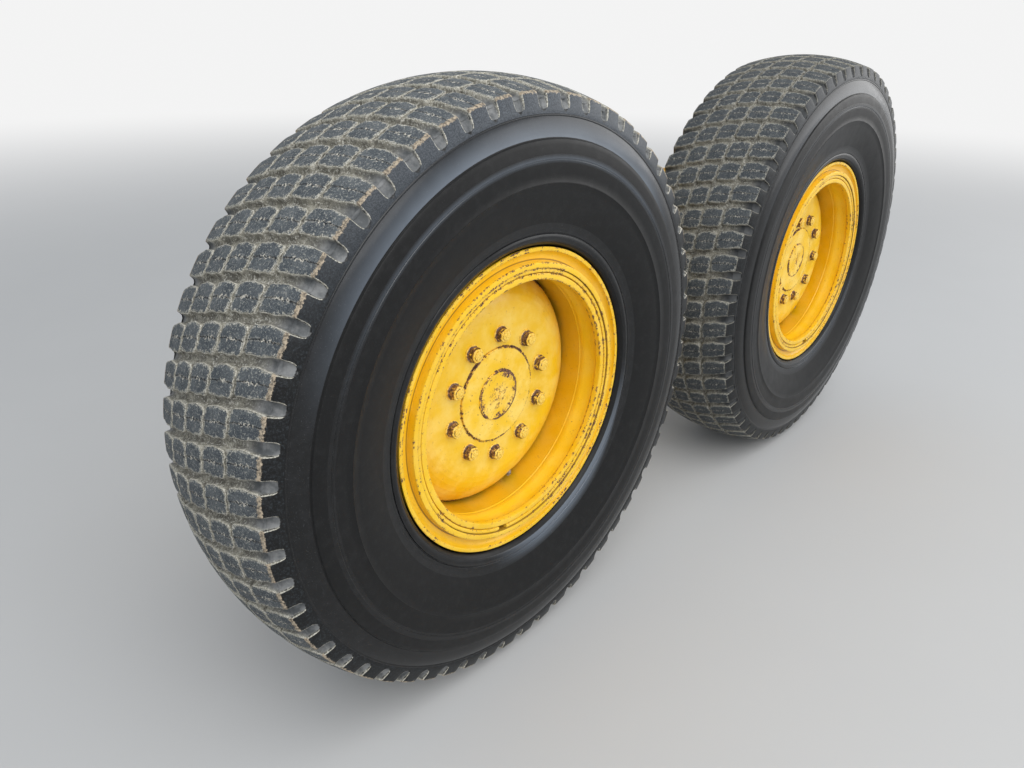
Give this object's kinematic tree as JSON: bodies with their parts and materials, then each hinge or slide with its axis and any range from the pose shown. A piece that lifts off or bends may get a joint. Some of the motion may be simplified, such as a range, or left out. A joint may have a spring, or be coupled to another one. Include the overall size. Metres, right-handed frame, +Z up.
{
  "type": "motor grader tandem",
  "caption": "Left-hand tandem of a motor grader: a chain case on a bolted pivot housing, carrying road wheels with snow-tread tyres on multi-piece rims.",
  "frame": {"origin": "centre of the pivot flange's face, on the pivot axis, level with the axles and midway between them", "axes": "+X to the machine's front, +Y outboard to the machine's left, +Z up"},
  "size_m": [2.859, 0.787, 1.336],
  "materials": {
    "case_paint": "semi-gloss yellow paint, dusty, rust along edges",
    "casting_paint": "yellow paint over rough casting, oily dust",
    "rim_paint": "semi-gloss warm yellow paint, rust chips on the ring edges",
    "hub_paint": "yellow paint, speckled and worn through to rust at the boss",
    "wheel_nut": "rusted flanks with yellow paint left on the end faces",
    "bolt_steel": "dull plated steel, lightly rusted",
    "plug_dark": "black moulded cap",
    "valve_metal": "dull grey metal",
    "tyre": "dressed black sidewall, slate tread faces with tan mud in the grooves"
  },
  "bodies": {
    "tandem": {"case_body": "case_paint", "case_outer_plate": "case_paint", "case_inner_plate": "case_paint", "top_covers": "case_paint", "cover_bolts": "bolt_steel", "filler_plug": "plug_dark", "breather": "bolt_steel", "level_plug": "bolt_steel", "drain_plugs": "bolt_steel", "pivot_housing": "casting_paint", "swivel_ring": "casting_paint", "swivel_bolts": "bolt_steel", "brake_housings": "casting_paint", "bearing_housings": "casting_paint", "housing_bolts": "bolt_steel"},
    "wheel_front": {"front_tyre": "tyre", "front_rim_base": "rim_paint", "front_side_rings": "rim_paint", "front_seat_band": "rim_paint", "front_lock_ring": "rim_paint", "front_disc": "rim_paint", "front_hub": "hub_paint", "front_hub_boss": "hub_paint", "front_nuts": "wheel_nut", "front_valve": "valve_metal"},
    "wheel_rear": {"rear_tyre": "tyre", "rear_rim_base": "rim_paint", "rear_side_rings": "rim_paint", "rear_seat_band": "rim_paint", "rear_lock_ring": "rim_paint", "rear_disc": "rim_paint", "rear_hub": "hub_paint", "rear_hub_boss": "hub_paint", "rear_nuts": "wheel_nut", "rear_valve": "valve_metal"}
  },
  "joints": [
    {"name": "front_wheel_spin", "type": "hinge", "parent": "tandem", "child": "wheel_front", "pos_m": [0.7615, 0.598, 0], "axis": [0, 1, 0], "continuous": true},
    {"name": "rear_wheel_spin", "type": "hinge", "parent": "tandem", "child": "wheel_rear", "pos_m": [-0.7615, 0.598, 0], "axis": [0, 1, 0], "continuous": true}
  ],
  "couplings": [
    {"joint": "rear_wheel_spin", "follows": "front_wheel_spin", "ratio": 1}
  ]
}
